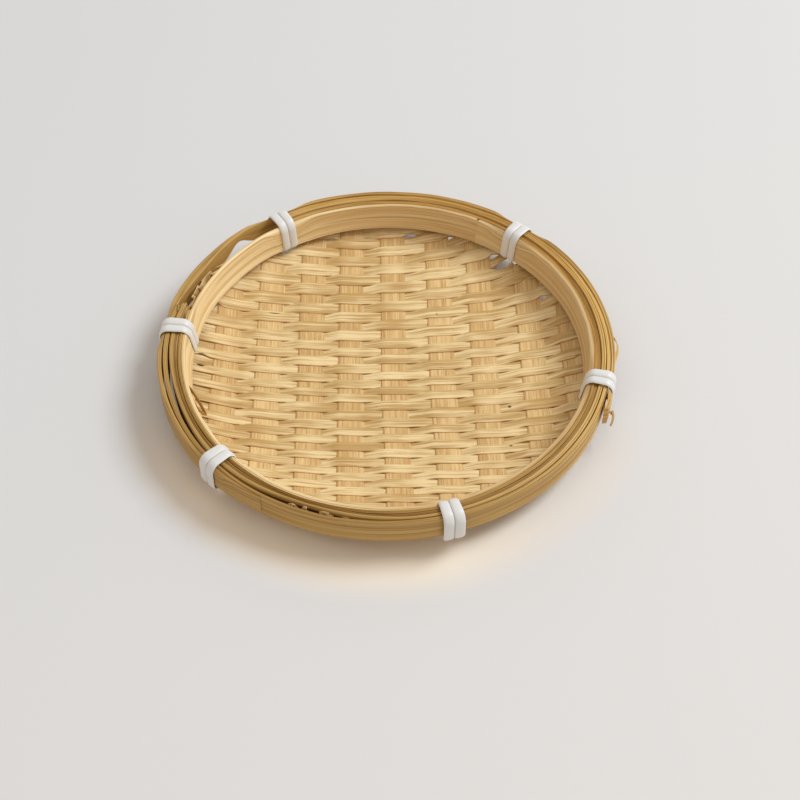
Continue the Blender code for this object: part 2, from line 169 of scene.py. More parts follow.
class Finish:
    """A material under construction, with one method for every kind of node."""

    def __init__(self, name, **uniform):
        self.material = bpy.data.materials.new(name)
        self.material.use_nodes = True
        self.tree = self.material.node_tree
        self.shader = self.tree.nodes["Principled BSDF"]
        for socket, value in uniform.items():
            self.shader.inputs[socket.replace("_", " ")].default_value = value

    def plug(self, socket, value):
        """Set a socket to a value, or link it to a wire."""
        if isinstance(value, Wire):
            self.tree.links.new(value.socket, socket)
        else:
            socket.default_value = value

    def node(self, kind, settings=None, inputs=None, output=0):
        """Add any node: its settings come first, then its sockets."""
        made = self.tree.nodes.new(kind)
        for key, value in (settings or {}).items():
            setattr(made, key, value)
        for key, value in (inputs or {}).items():
            self.plug(made.inputs[key], value)
        return Wire(self, made.outputs[output])

    def parts(self, vector):
        """The three numbers of a vector."""
        split = self.node("ShaderNodeSeparateXYZ", None, {0: vector})
        return [Wire(self, output) for output in split.socket.node.outputs]

    def grain(self):
        """Millimetres along and across the strip, and a number that differs from strip to strip."""
        return self.parts(self.node("ShaderNodeAttribute", {"attribute_name": "grain"}, output="Vector"))

    def vector(self, operation, first, second=(0.0, 0.0, 0.0), output="Vector"):
        """Arithmetic on vectors, such as places."""
        inputs = {0: first, 1: second}
        return self.node("ShaderNodeVectorMath", {"operation": operation}, inputs, output)

    def noise(self, along, across, seed, detail=2.0, roughness=0.5):
        """Noise stretched along the fibres: the two sizes come in through the coordinates."""
        place = self.node("ShaderNodeCombineXYZ", None, {0: along, 1: across, 2: seed})
        inputs = {"Vector": place, "Scale": 1.0, "Detail": detail, "Roughness": roughness}
        return self.node("ShaderNodeTexNoise", {"noise_dimensions": "3D"}, inputs)

    def ramp(self, value, low, high, start=0.0, end=1.0):
        """Carry a value from one range to another, smoothly and without leaving it."""
        inputs = {0: value, 1: low, 2: high, 3: start, 4: end}
        settings = {"interpolation_type": "SMOOTHSTEP", "clamp": True}
        return self.node("ShaderNodeMapRange", settings, inputs)

    def blend(self, factor, first, second):
        """Mix two colours."""
        inputs = {0: factor, 6: first, 7: second}
        return self.node("ShaderNodeMix", {"data_type": "RGBA"}, inputs, output=2)

    def bump(self, height, depth):
        """Turn a height between 0 and 1 into a surface direction."""
        inputs = {"Height": height, "Distance": depth, "Strength": 1.0}
        self.plug(self.shader.inputs["Normal"], self.node("ShaderNodeBump", None, inputs, "Normal"))


def colour(red, green, blue):
    """A colour given as eyes see it, from 0 to 255, in the linear numbers that light uses."""
    def linear(value):
        value = value / 255
        return value / 12.92 if value <= 0.04045 else ((value + 0.055) / 1.055) ** 2.4
    return (linear(red), linear(green), linear(blue), 1.0)


print("a mid grey is", [round(v, 3) for v in colour(128, 128, 128)])

# %% [markdown]
# ## Light and floor
# The photograph is a soft studio shot: a large lamp high at the back right, and so much
# light from all round that the shadows stay pale. A big area lamp gives the soft shadow, and
# a plain pale world fills the rest. The floor is one large sheet whose colour is the
# background, with painted shade that greys it slightly at the back left, as in the photograph.
# Close to the front of the tray it is painted warmer, most at the left, as painted bounce light
# from the bamboo. Under the tray painted shade makes it brown, so that the smallest chinks of
# the weave look deep and not grey.

# %% Lamps, world and floor
LAMP_TURN_DEGREES = 19.0
LAMP_HEIGHT_DEGREES = 48.0
LAMP_DISTANCE = 2.4
LAMP_WIDTH = 1.15
LAMP_WATTS = 38.8
LAMP_COLOUR = (0.86, 0.93, 1.0)
WORLD_COLOUR = (1.0, 0.93, 0.85, 1.0)
WORLD_STRENGTH = 0.61
FLOOR_WIDTH = 3.0
PAPER_GREY = colour(216, 216, 217)
PAPER_PALE = colour(226, 223, 220)
PAINTED_BOUNCE_WARM = colour(255, 240, 218)
PAINTED_SHADE_UNDER_TRAY = colour(112, 76, 40)
PAINTED_BOUNCE_REACH = (0.082, 0.067)
PAINTED_SHADE_REACH = (0.052, 0.044)


def add_lamp():
    """A large soft lamp at the back right."""
    toward = direction(LAMP_TURN_DEGREES, LAMP_HEIGHT_DEGREES)
    light = bpy.data.lights.new("window", "AREA")
    light.shape = "DISK"
    light.size = LAMP_WIDTH
    light.energy = LAMP_WATTS
    light.color = LAMP_COLOUR
    lamp = bpy.data.objects.new("window", light)
    lamp.location = toward * LAMP_DISTANCE
    lamp.rotation_euler = toward.to_track_quat("Z", "Y").to_euler()
    bpy.context.scene.collection.objects.link(lamp)


def add_world():
    """Even pale light from all round."""
    world = bpy.data.worlds.new("studio")
    world.use_nodes = True
    background = world.node_tree.nodes["Background"]
    background.inputs["Color"].default_value = WORLD_COLOUR
    background.inputs["Strength"].default_value = WORLD_STRENGTH
    bpy.context.scene.world = world


def floor_finish():
    """Pale paper with painted shade at the back left, painted warm bounce light close to the front of the
    tray and painted shade under it.
    """
    paper = Finish("paper", Roughness=0.9)
    place = paper.node("ShaderNodeTexCoord", output="Object")
    across, depth = paper.parts(place)[:2]
    # Painted light falloff: the floor is greyer towards the back left.
    slope = paper.ramp(across - depth, -0.45, 0.45)
    mottle = paper.node("ShaderNodeTexNoise", None, {"Vector": place, "Scale": 9.0, "Detail": 2.0})
    tone = paper.blend(slope + (mottle - 0.5) * 0.15, PAPER_GREY, PAPER_PALE)
    distance = paper.vector("LENGTH", place, output="Value")
    # Painted bounce light: the floor near the front of the tray, most at the left, is warmer.
    front = paper.ramp(depth, 0.0, -0.05) * paper.ramp(across, 0.055, 0.005, 0.3, 0.9)
    tone = paper.blend(paper.ramp(distance, *PAINTED_BOUNCE_REACH) * front, tone, PAINTED_BOUNCE_WARM)
    # Painted shade: the floor under the tray is brown.
    tone = paper.blend(paper.ramp(distance, *PAINTED_SHADE_REACH), tone, PAINTED_SHADE_UNDER_TRAY)
    paper.plug(paper.shader.inputs["Base Color"], tone)
    return paper.material


def add_floor():
    """The sheet that the tray stands on."""
    shape = bmesh.new()
    bmesh.ops.create_grid(shape, x_segments=1, y_segments=1, size=FLOOR_WIDTH / 2)
    mesh = bpy.data.meshes.new("floor")
    shape.to_mesh(mesh)
    shape.free()
    mesh.materials.append(floor_finish())
    floor = bpy.data.objects.new("floor", mesh)
    bpy.context.scene.collection.objects.link(floor)


add_lamp()
add_world()
add_floor()
bpy.context.scene.view_settings.view_transform = "Standard"
print("lamp", LAMP_WATTS, "W, world", WORLD_STRENGTH)

# %% [markdown]
# ## From rings to a mesh
# Strips, laths and straps are all long bodies with a changing section. The quickest way to
# make one in code is to compute every ring of points at once with numpy, then to join the
# rings with four-sided faces and close both ends. Each point also keeps where it lies in the
# strip, in millimetres along and across, and the materials read that to lay their fibres.
# A second number, the same for every ring, tells how near a point is to a darker edge or face, where the
# material paints a dark cut side and painted shade.

# %% The strip maker
SHARP_DEGREES = 40.0


def ring_faces(count, size):
    """Faces between successive rings, and a cap on each end."""
    near = np.arange(count - 1)[:, None] * size + np.arange(size)[None, :]
    turned = np.roll(near, -1, axis=1)
    sides = np.stack((near, turned, turned + size, near + size), axis=-1).reshape(-1, 4)
    caps = [list(range(size - 1, -1, -1)), list(range((count - 1) * size, count * size))]
    return sides.tolist() + caps


def signed_volume(points, faces):
    """Six times the volume that four-sided faces close off, negative if they face inwards."""
    quads = np.array([face for face in faces if len(face) == 4])
    a, b, c, d = (points[quads[:, i]] for i in range(4))
    return float(np.einsum("ij,ij->i", a, np.cross(b, c) + np.cross(c, d)).sum())


def grain_at(along, across, number):
    """Where each point lies in its strip, in millimetres, and the strip's own number."""
    return np.stack(np.broadcast_arrays(along, across, float(number)), axis=-1)


def skin(name, rings, grain, edge=None):
    """Make a closed piece from rings of points, with each point's grain and each ring's edge: its share of
    dark cut side and painted shade.
    """
    count, size = rings.shape[:2]
    points = rings.reshape(-1, 3)
    faces = ring_faces(count, size)
    if signed_volume(points, faces) < 0:
        faces = [face[::-1] for face in faces]
    mesh = bpy.data.meshes.new(name)
    mesh.from_pydata(points.tolist(), [], faces)
    mesh.attributes.new("grain", "FLOAT_VECTOR", "POINT").data.foreach_set("vector", grain.ravel())
    if edge is not None:
        # The edge number marks where the material paints a dark cut side and painted shade.
        mesh.attributes.new("edge", "FLOAT", "POINT").data.foreach_set("value", np.tile(edge, count))
    mesh.shade_smooth()
    mesh.set_sharp_from_angle(angle=math.radians(SHARP_DEGREES))
    piece = bpy.data.objects.new(name, mesh)
    bpy.context.scene.collection.objects.link(piece)
    return piece


def dress(piece, node, finish):
    """Let a piece stand for its node, with its finish."""
    piece.data.materials.append(finish.material)
    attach(piece, "root")
    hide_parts(node)


print("two rings of four points give", len(ring_faces(2, 4)), "faces")

# %% [markdown]
# ## The shape of the woven sheet
# The weave is made flat and then takes the shape of a shallow dish, with a fold where it
# turns up into the rim. So every strip is first laid out flat, in x, y and a height over the
# sheet's middle, and one function drapes all its points at once. The same profile shaped the
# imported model, so the strips lie where their nodes are.

# %% Dish, fold and rim
SHEET_HALF = 0.0009
FLAT_RADIUS = 0.022
FOLD_RADIUS = 0.0019
EDGE_SLOPE_DEGREES = 18.0
SEAT_GAP = 0.0002
WALL_CLIMB = 0.0022

edge_slope = math.radians(EDGE_SLOPE_DEGREES)
wall_radius = hoop_outer + SEAT_GAP + SHEET_HALF
fold_centre_radius = wall_radius - FOLD_RADIUS
dish_radius = fold_centre_radius + FOLD_RADIUS * math.sin(edge_slope)
dish_rise = hoop_bottom - FOLD_RADIUS * math.cos(edge_slope) - SHEET_HALF
dish_power = math.tan(edge_slope) * (dish_radius - FLAT_RADIUS) / dish_rise
fold_length = FOLD_RADIUS * (math.pi / 2 - edge_slope)
climbing_radius = dish_radius + fold_length + WALL_CLIMB


def lean_in(radius, height):
    """How far a place in the rim leans in: most at the hoop's lower edge, nothing at the laths."""
    depth = np.clip((rim_top - height) / (rim_top - hoop_bottom), 0, 1)
    share = np.clip((third_lath_inner - radius) / (third_lath_inner - hoop_outer), 0, 1)
    return hoop_lean * depth * share


def drape(x, y, level):
    """Carry flat points, with their heights over the sheet's middle, to their places in the tray."""
    flat = np.maximum(np.hypot(x, y), 1e-9)
    share = np.clip((flat - FLAT_RADIUS) / (dish_radius - FLAT_RADIUS), 0, 1)
    steepness = dish_rise * dish_power / (dish_radius - FLAT_RADIUS) * share ** (dish_power - 1)
    folding = flat > dish_radius
    turning = edge_slope + (flat - dish_radius) / FOLD_RADIUS
    angle = np.minimum(np.where(folding, turning, np.arctan(steepness)), math.pi / 2)
    radius = np.where(folding, fold_centre_radius + FOLD_RADIUS * np.sin(angle), flat)
    climb = np.maximum(flat - dish_radius - fold_length, 0)
    folded_height = hoop_bottom - FOLD_RADIUS * np.cos(angle) + climb
    height = np.where(folding, folded_height, SHEET_HALF + dish_rise * share ** dish_power)
    radius = radius - level * np.sin(angle)
    height = height + level * np.cos(angle)
    folded = np.clip((angle - edge_slope) / (math.pi / 2 - edge_slope), 0, 1)
    radius = radius - lean_in(radius, height) * folded
    return np.stack((x / flat * radius, y / flat * radius, height), axis=-1)


print("dish radius", round(dish_radius, 5), "rise", round(dish_rise, 5), "power", round(dish_power, 3))

# %% [markdown]
# ## Where each strip runs
# The nodes say where the strips lie: the warps by their corners near the middle, the wefts by
# their corners on one line, left of the middle, where they run straight from left to right.
# On both sides of that line they bow off towards the back, most at the back right. A weaver's
# hand isn't even, so the rows lie closer in some places than in others, and some of the wide
# strips stray to the right. Those are small pushes away from the nodes, in metres.

# %% Paths
BOW_X = -0.0124
STRAIGHT_REACH = 0.0065
BOW_RIGHT = 0.0054
BOW_LEFT = 0.0050
BOW_RIGHT_GROWTH = 0.0062
BOW_LEFT_GROWTH = -0.0040
WARP_COUNT = 9
WEFT_COUNT = 36
WARP_NAMES = [f"warp_{number}" for number in range(1, WARP_COUNT + 1)]
WEFT_NAMES = [f"weft_{number:02d}" for number in range(1, WEFT_COUNT + 1)]
ROW_SHIFT = -0.00095
ROW_DRIFTS = ((0.043, 0.0012, 0.011), (0.000, -0.0006, 0.006),
              (-0.011, 0.0006, 0.0025), (-0.034, -0.0003, 0.009))
WARP_SHIFTS = (0.0, 0.0004, 0.0004, 0.0003, 0.0, 0.0, 0.0004, 0.0008, 0.0)
WARP_DRIFTS = (0.0, 0.0, 0.0, 0.0002, 0.0010, 0.0013, 0.0, 0.0, 0.0)
DRIFT_START_Y = -0.008
DRIFT_LENGTH = 0.040


def bow(x, offset):
    """How far a weft has run off towards the back, a way along it."""
    share = (x - BOW_X) / dish_radius
    right = BOW_RIGHT + BOW_RIGHT_GROWTH * offset / dish_radius
    left = BOW_LEFT + BOW_LEFT_GROWTH * offset / dish_radius
    return np.where(share > 0, right, left) * share ** 2


def drift(y):
    """How far the rows are pushed from even places, by where they lie."""
    return ROW_SHIFT + sum(push * math.exp(-((y - place) / reach) ** 2) for place, push, reach in ROW_DRIFTS)


def weft_place(name):
    """A weft's y on the line where it runs straight, as the node has it."""
    points = corners(name)
    near = points[np.abs(points[:, 0] - BOW_X) < STRAIGHT_REACH]
    return float(near[:, 1].min() + near[:, 1].max()) / 2


def warp_place(name):
    """A warp's x as the node has it, measured from its edge on the tray's outer side."""
    low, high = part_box(name)
    outer_right = high.x > -low.x
    return high.x - warp_width / 2 if outer_right else low.x + warp_width / 2


def warp_side(column, y):
    """How far a warp has strayed sideways: all along it, and more towards the front."""
    share = np.clip((DRIFT_START_Y - y) / DRIFT_LENGTH, 0, 1)
    return WARP_SHIFTS[column] + WARP_DRIFTS[column] * share


warp_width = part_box("warp_5")[1].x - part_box("warp_5")[0].x
warp_x = [warp_place(name) for name in WARP_NAMES]
row_y = [weft_place(name) for name in WEFT_NAMES]
row_y = [y + drift(y) for y in row_y]
print("warps at", [round(x * 1000, 1) for x in warp_x])
print("rows at", [round(y * 1000, 1) for y in row_y])

# %% [markdown]
# ## Where each strip ends
# The strips turn up into the rim and end there, between the hoop and the laths. The ties pass
# through the weave, so a strip that meets one ends at it, along the tie's own sides. A strip
# is cut lane by lane: each lengthwise line of it runs until it meets its end or a tie, so its
# tip takes the shape of what it meets. At the left, where the rim gapes, the ends stand up
# nearly to its top.

# %% Ends
TIE_NAMES = ["tie_back_right", "tie_back_left", "tie_left", "tie_front_left", "tie_front", "tie_right"]
TIE_SIDE_GAP = 0.00008
TIE_SLOT_START = 0.0014
REACH_STEP = 0.0001
REACH_BEYOND = 0.02
LONG_ENDS = 0.0058
LONG_ENDS_DEGREES = (154.0, 13.0)
END_STATIONS = 5


def tie_azimuth(name):
    """The direction of a tie from the middle of the tray."""
    middle = corners(name).mean(axis=0)
    return math.atan2(middle[1], middle[0])


def tie_size():
    """Half the width of a tie along the rim, and its least distance from the middle of the tray."""
    turned = corners("tie_front") @ np.array(Matrix.Rotation(tie_azimuths["tie_front"], 3, "Z"))
    return float(np.abs(turned[:, 1]).max()), float(np.hypot(turned[:, 0], turned[:, 1]).min())


tie_azimuths = {name: tie_azimuth(name) for name in TIE_NAMES}
tie_half, tie_inner = tie_size()
tie_slot_radius = tie_inner + TIE_SLOT_START
print("tie half width", round(tie_half, 5), "least radius", round(tie_inner, 5))


def degrees_away(turn, azimuth):
    """How many degrees azimuths lie from one azimuth, the short way round."""
    return np.degrees(np.angle(np.exp(1j * (turn - azimuth))))


def bulge(turn, middle_degrees, half_degrees):
    """A smooth bump of height 1 round an azimuth, with its middle and half its width in degrees."""
    return np.exp(-(degrees_away(turn, math.radians(middle_degrees)) / half_degrees) ** 2)


def blocked(x, y, limit):
    """Whether flat places lie past the end of the strips or in the way of a tie."""
    flat = np.hypot(x, y)
    found = flat > limit + LONG_ENDS * bulge(np.arctan2(y, x), *LONG_ENDS_DEGREES)
    for angle in tie_azimuths.values():
        along = x * math.cos(angle) + y * math.sin(angle)
        across = y * math.cos(angle) - x * math.sin(angle)
        found |= (along > 0) & (flat > tie_slot_radius) & (np.abs(across) < tie_half + TIE_SIDE_GAP)
    return found


def end_reaches(path, lanes, limit):
    """How far each lane of a strip runs from its middle, forwards and backwards."""
    reaches = []
    for heading in (-1, 1):
        steps = np.arange(0, limit + REACH_BEYOND, REACH_STEP) * heading
        x, y = path(steps[:, None], lanes[None, :])
        reaches.append(steps[np.argmax(blocked(x, y, limit), axis=0)])
    return reaches


def strip_stations(reaches, step, tip):
    """The places along each lane: shared in the middle, spread to the lane's own end at both ends."""
    low, high = reaches[0].max() + tip, reaches[1].min() - tip
    count = max(int(math.ceil((high - low) / step)), 2)
    middle = np.linspace(low, high, count + 1)
    ends = np.linspace(0, 1, END_STATIONS + 1)[1:]
    before = low + (reaches[0][None, :] - low) * ends[::-1, None]
    after = high + (reaches[1][None, :] - high) * ends[:, None]
    shared = np.repeat(middle[:, None], len(reaches[0]), axis=1)
    return np.concatenate((before, shared, after))


# %% [markdown]
# ## How the strips pass over and under
# In the photograph each float of a narrow strip is brightest at its right end, where it dives
# under the next wide strip, and darker at its left, where it climbs. That comes from wide
# strips that lie slightly tilted, with the left edge up. A narrow strip lies down gently over
# a wide one, stays up across the gap and slips under the next at its edge. Its neighbour comes
# up late in the same gap, narrow and half hidden, and opens to its full width on top. So a
# line of knots gives the level and the width along a strip, and is softened as a springy
# splint would be.

# %% Levels in the weave
WARP_THICKNESS = 0.00040
WEFT_THICKNESS = 0.00033
WARP_TILT = 0.00023
WARP_WAVE = 0.00009
CONTACT_GAP = 0.00003
BEND_WIDTH = 0.0009
WEAVE_STEP = 0.0002
WEAVE_BEYOND = 1.3
CLIMB_PEAK = 0.00008
ROLL = 0.0001
OPEN_LENGTH = 0.0016
GAP_SHARES = (0.3, 0.8)
SPRING = 0.00004
STRETCH = (0.96, 1.05)
KNOTS_BEYOND = 1.4
END_KNOT = (0.0, 1.1, 0.0)

seat = WARP_THICKNESS / 2 + WEFT_THICKNESS / 2 + CONTACT_GAP - WARP_WAVE
weave_grid = np.arange(-climbing_radius * WEAVE_BEYOND, climbing_radius * WEAVE_BEYOND, WEAVE_STEP)


def soften(places, values, width):
    """Round the corners of a line drawn over evenly spaced places."""
    step = places[1] - places[0]
    reach = int(math.ceil(3 * width / step))
    kernel = np.exp(-0.5 * (np.arange(-reach, reach + 1) * step / width) ** 2)
    padded = np.concatenate((np.full(reach, values[0]), values, np.full(reach, values[-1])))
    return np.convolve(padded, kernel / kernel.sum(), mode="valid")


def springy(x, knots, values):
    """A line through knots, softened as a springy splint would be."""
    return np.interp(x, weave_grid, soften(weave_grid, np.interp(weave_grid, knots, values), BEND_WIDTH))


def passes_over(row, column):
    """Whether a weft passes over a warp: the two turn about at every crossing."""
    return (row + column) % 2 == 1


def weft_knots(row, column):
    """Place, level, width share and roll of a weft at one warp, and in the gap after it."""
    left = warp_x[column] - warp_width / 2
    right = warp_x[column] + warp_width / 2
    last = column == len(warp_x) - 1
    gap = (warp_x[column + 1] - warp_width / 2 if not last else right + warp_width) - right
    early, late = (right + gap * share for share in GAP_SHARES)
    if passes_over(row, column):
        return [(left, seat + WARP_TILT + CLIMB_PEAK, 1.09, 0),
                (left + OPEN_LENGTH, seat + WARP_TILT, 1.18, 0), (right, seat - WARP_TILT, 1.18, 0),
                (early, 0.00015, 1.14, ROLL), (late, 0, 1.14, -ROLL)]
    return [(left, WARP_TILT - seat, 1.4, -ROLL), (right, -seat - WARP_TILT, 1.36, -ROLL),
            (early, -0.00022, 1.22, ROLL), (late, 0.00018, 1.1, 0)]


def weft_line(row, x, rng):
    """Along a weft: its middle's level, its width as a share of the pitch, and its back edge's dip."""
    y = row_y[row]
    beyond = climbing_radius * KNOTS_BEYOND
    knots = [(-beyond, *END_KNOT)]
    for column, across in enumerate(warp_x):
        if math.hypot(across, y + bow(across, y)) < climbing_radius:
            spring = rng.uniform(-SPRING, SPRING)
            stretch = rng.uniform(*STRETCH)
            knots += [(place, level + spring, share * stretch, roll)
                      for place, level, share, roll in weft_knots(row, column)]
    knots.append((beyond, *END_KNOT))
    places, *lines = np.array(knots).T
    return [springy(x, places, line) for line in lines]


def warp_line(column, y):
    """The level of a warp's middle: pressed down a little under each weft, up over the next."""
    places = [row + float(bow(warp_x[column], row)) for row in row_y]
    levels = [-WARP_WAVE if passes_over(row, column) else WARP_WAVE for row in range(len(row_y))]
    return springy(y, places, levels)


print("a weft on top of a warp lies", round(seat * 1000, 3), "mm over the sheet's middle")

# %% [markdown]
# ## The finish of split bamboo
# Split bamboo shows its fibres: fine light and dark lines along the strip, a satin sheen, and
# here and there a brown fleck. All of it is noise, stretched hard along the strip. The same
# maker serves the pale narrow strips, the warmer wide ones, the hoop and the laths, with
# other colours and sizes, so that they look like one plant. Brown shows between the fibres
# and on a split top edge, and painted shade browns one side of the tray. A dark cut side with painted contact
# shadow lines one edge of a strip, and painted shade darkens a lath's hidden faces.
# A few dark specks lie where the photograph has them.

# %% Bamboo
FIBRE_LIFT = 0.00004
ROUGHNESS = (0.42, 0.62)
SPECK_COLOUR = colour(58, 36, 18)
FLECK_COLOUR = colour(92, 58, 24)


def bamboo(name, pale, deep, brown, cut_and_shade_colour, fibre_mm, contrast, stretch=1.0, blotch=0.7, streak=0.5,
           fleck=0.5, top=0.0, cut_and_shade=0.8, shaded_side=None, specks=()):
    """Split bamboo, from its tones and the width of its fibres. The other numbers are shares.

    Shaded side is the direction, in x and y, in which painted shade makes the bamboo browner, and by how
    much.
    """
    wood = Finish(name, Specular_IOR_Level=0.5)
    along, across, seed = wood.grain()
    along = along * (1 / stretch)
    broad = wood.noise(along * 0.012, across * (0.45 / fibre_mm), seed * 3.1, 2.0)
    fine = wood.noise(along * 0.05, across * (1.0 / fibre_mm), seed * 5.7, 3.0, 0.65)
    hair = wood.noise(along * 0.15, across * (2.2 / fibre_mm), seed * 9.3, 2.0, 0.6)
    cloud = wood.noise(along * 0.09, across * 0.15, seed * 2.3, 1.0)
    tone = wood.node("ShaderNodeTexWhiteNoise", {"noise_dimensions": "1D"}, {"W": seed}, "Value")
    depth = broad * 0.8 + fine * 0.9 + cloud * blotch + tone * 0.2
    middle = 0.95 + blotch / 2
    depth = wood.ramp(depth, middle - 0.55 / contrast, middle + 0.55 / contrast)
    shade = wood.blend(depth, pale, deep)
    lines = wood.ramp(hair + fine * 0.7, 0.88, 1.06)
    if top:
        facing = wood.node("ShaderNodeNewGeometry", output="Normal")
        upward = wood.ramp(wood.parts(facing)[2], 0.3, 0.7)
        shade = wood.blend(upward * (broad * 0.8 + 0.6) * top, shade, brown)
        lines = lines * (upward * 0.75 + 0.25)
    shade = wood.blend(lines * streak, shade, brown)
    # Painted shade: a strip's marked edge takes a dark cut side with a painted contact shadow, and a lath's
    # faces take painted shade deeper in the gaps.
    edge = wood.node("ShaderNodeAttribute", {"attribute_name": "edge"}, output="Fac")
    shade = wood.blend(wood.ramp(edge, 0.84, 0.98) * cut_and_shade, shade, cut_and_shade_colour)
    place = wood.node("ShaderNodeTexCoord", output="Object")
    # Painted shade: the bamboo turns browner towards one side of the tray.
    if shaded_side:
        side = wood.vector("DOT_PRODUCT", place, (shaded_side[0], shaded_side[1], 0.0), "Value")
        shade = wood.blend(wood.ramp(side, -0.05, 0.05) * shaded_side[2], shade, brown)
    for x, y, length, height in specks:
        flat = wood.vector("MULTIPLY", place, (1 / length, 1 / height, 0.0))
        away = wood.vector("DISTANCE", flat, (x / length, y / height, 0.0), "Value")
        shade = wood.blend(wood.ramp(away + hair * 0.6, 1.25, 0.85) * 0.85, shade, SPECK_COLOUR)
    spots = wood.noise(along * 0.55, across * 1.4, seed * 11.9, 1.0)
    shade = wood.blend(wood.ramp(spots, 0.77, 0.83) * fleck, shade, FLECK_COLOUR)
    wood.plug(wood.shader.inputs["Base Color"], shade)
    wood.plug(wood.shader.inputs["Roughness"], wood.ramp(fine + hair * 0.5, 0.4, 1.1, *ROUGHNESS))
    wood.bump(fine * 0.7 + hair * 0.6, FIBRE_LIFT)
    return wood


SPECKS = ((0.0347, -0.0142, 0.0007, 0.0006), (0.0255, -0.0084, 0.0013, 0.0003),
          (0.0341, -0.0292, 0.0007, 0.0004), (-0.0108, 0.0432, 0.0007, 0.0008),
          (-0.0338, 0.0240, 0.0022, 0.0003), (0.0440, -0.0040, 0.0006, 0.0004))
# The fourth colour of each is the dark cut side with painted contact shadow along one edge.
weft_finish = bamboo("weft_bamboo", colour(242, 215, 160), colour(196, 157, 94), colour(170, 126, 66),
                     colour(176, 118, 50), 0.6, 2.4, fleck=0.6, cut_and_shade=0.85, specks=SPECKS)
warp_finish = bamboo("warp_bamboo", colour(234, 199, 138), colour(203, 161, 98), colour(158, 112, 54),
                     colour(170, 112, 48), 0.45, 1.8, cut_and_shade=0.6)
print("finishes", weft_finish.material.name, warp_finish.material.name)

# %% [markdown]
# ## The wide strips
# A wide strip is a slat with a flat oval section and fine ridges along it. The ridges are
# real shape, because they catch the light from the side. Each ring of points goes once round
# the slat: over the top from one edge to the other, and back underneath. No strip is cut
# quite straight, so the edges and the level wander a little. Each wander is given by the
# length over which it changes and by how far it goes.

# %% Warps
WARP_LANES = 31
WARP_STEP = 0.0006
WARP_RIDGE = 0.00004
WARP_CROWN = 0.00006
WARP_LEFT_WANDER = (0.009, 0.00012)
WARP_RIGHT_WANDER = (0.011, 0.00012)
WARP_LEVEL_WANDER = (0.02, 0.00003)
SLAT_EDGE = 0.35
SLAT_SQUARENESS = 9
TIP_RUN = 0.0006


def wander(rng, places, step, size):
    """A smooth random wave: a new height every step, eased in between."""
    knots = np.arange(places.min() - 2 * step, places.max() + 3 * step, step)
    heights = rng.uniform(-size, size, len(knots))
    spot = (places - knots[0]) / step
    index = np.clip(spot.astype(int), 0, len(knots) - 2)
    share = spot - index
    share = share * share * (3 - 2 * share)
    return heights[index] * (1 - share) + heights[index + 1] * share


def slat_ridges(rng, count, size):
    """Random heights of the lanes of a slat, but for its two edges."""
    ridges = rng.uniform(-size, size, count)
    ridges[[0, -1]] = 0
    return ridges


def there_and_back(values):
    """Values over a slat's top, and the same ones back along its bottom."""
    return np.concatenate((values, values[..., ::-1]), axis=-1)


def make_slat(name, x, y, level, lanes, thickness, crown, ridges, along, across, number):
    """Drape a slat's top and its bottom, and join them. Its edge, with the dark cut side and painted contact
    shadow, is 1 at the front or the left.
    """
    half = thickness / 2 * (SLAT_EDGE + (1 - SLAT_EDGE) * (1 - np.abs(lanes) ** SLAT_SQUARENESS))
    arch = crown * (1 - lanes ** 2) - crown / 2
    upper = drape(x, y, level + half + arch + ridges)
    lower = drape(x, y, level + arch - half)
    rings = np.concatenate((upper, lower[:, ::-1]), axis=1)
    grain = grain_at(there_and_back(along) * 1000, there_and_back(across) * 1000, number)
    return skin(name, rings, grain, -there_and_back(lanes))


def make_warp(column):
    """One wide strip from front to back."""
    rng = np.random.default_rng(100 + column)
    x = warp_x[column]
    lanes = np.linspace(-1, 1, WARP_LANES)
    ridges = slat_ridges(rng, WARP_LANES, WARP_RIDGE)

    def path(along, lane):
        return x + warp_side(column, along) + lane, along + lane * 0

    reaches = end_reaches(path, lanes * warp_width / 2, climbing_radius)
    stations = strip_stations(reaches, WARP_STEP, TIP_RUN)
    middle = stations.mean(axis=1)
    left_edge = wander(rng, middle, *WARP_LEFT_WANDER)[:, None]
    right_edge = wander(rng, middle, *WARP_RIGHT_WANDER)[:, None]
    spread = lanes * warp_width / 2 + np.where(lanes < 0, left_edge, right_edge) * np.abs(lanes)
    level = warp_line(column, stations) - lanes * WARP_TILT + wander(rng, middle, *WARP_LEVEL_WANDER)[:, None]
    piece = make_slat(f"wide_strip_{column + 1}", x + warp_side(column, stations) + spread, stations, level,
                      lanes, WARP_THICKNESS, WARP_CROWN, ridges, stations, spread, column * 1.7 + 0.5)
    dress(piece, WARP_NAMES[column], warp_finish)
    return len(stations)


print("rings in the wide strips", [make_warp(column) for column in range(len(warp_x))])

# %% [markdown]
# ## The narrow strips
# These are the strips that the eye follows. Each has its own ridges and slight wander. Its
# width is a share of the distance between the rows, so the back rows, which lie wider apart,
# get wider strips, as the weaver chose them. Near the rim a few neighbours have parted, and
# the floor shows through. Those chinks are listed in millimetres: x and y, half their length,
# and how far each of the two strips stays back. The first and the last strip reach on under
# the hoop, so that no light comes in between.

